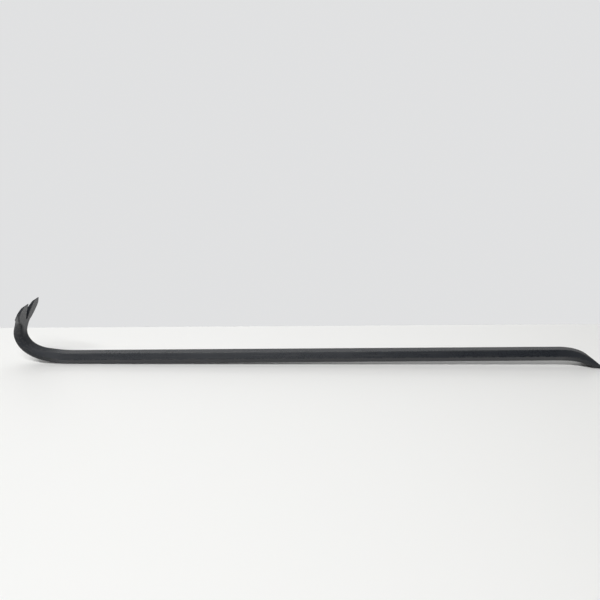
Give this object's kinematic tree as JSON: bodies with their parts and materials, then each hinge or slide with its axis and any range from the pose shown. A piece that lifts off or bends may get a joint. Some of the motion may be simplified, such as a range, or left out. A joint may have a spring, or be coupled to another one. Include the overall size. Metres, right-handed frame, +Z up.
{
  "type": "pry bar",
  "caption": "Gooseneck pry bar of hexagonal steel with a slotted nail-pulling claw on a hooked neck and an angled chisel end.",
  "frame": {"origin": "centre of the bounding box in plan, on the surface that the heel and the cutting edge stand on", "axes": "+X along the bar towards the chisel end, +Y across it, +Z up; the claw rises at -X"},
  "size_m": [0.9146, 0.0518, 0.1034],
  "materials": {
    "black_paint": "semi-gloss black paint over forged steel"
  },
  "bodies": {
    "root": {"forged_bar": "black_paint"}
  },
  "joints": []
}
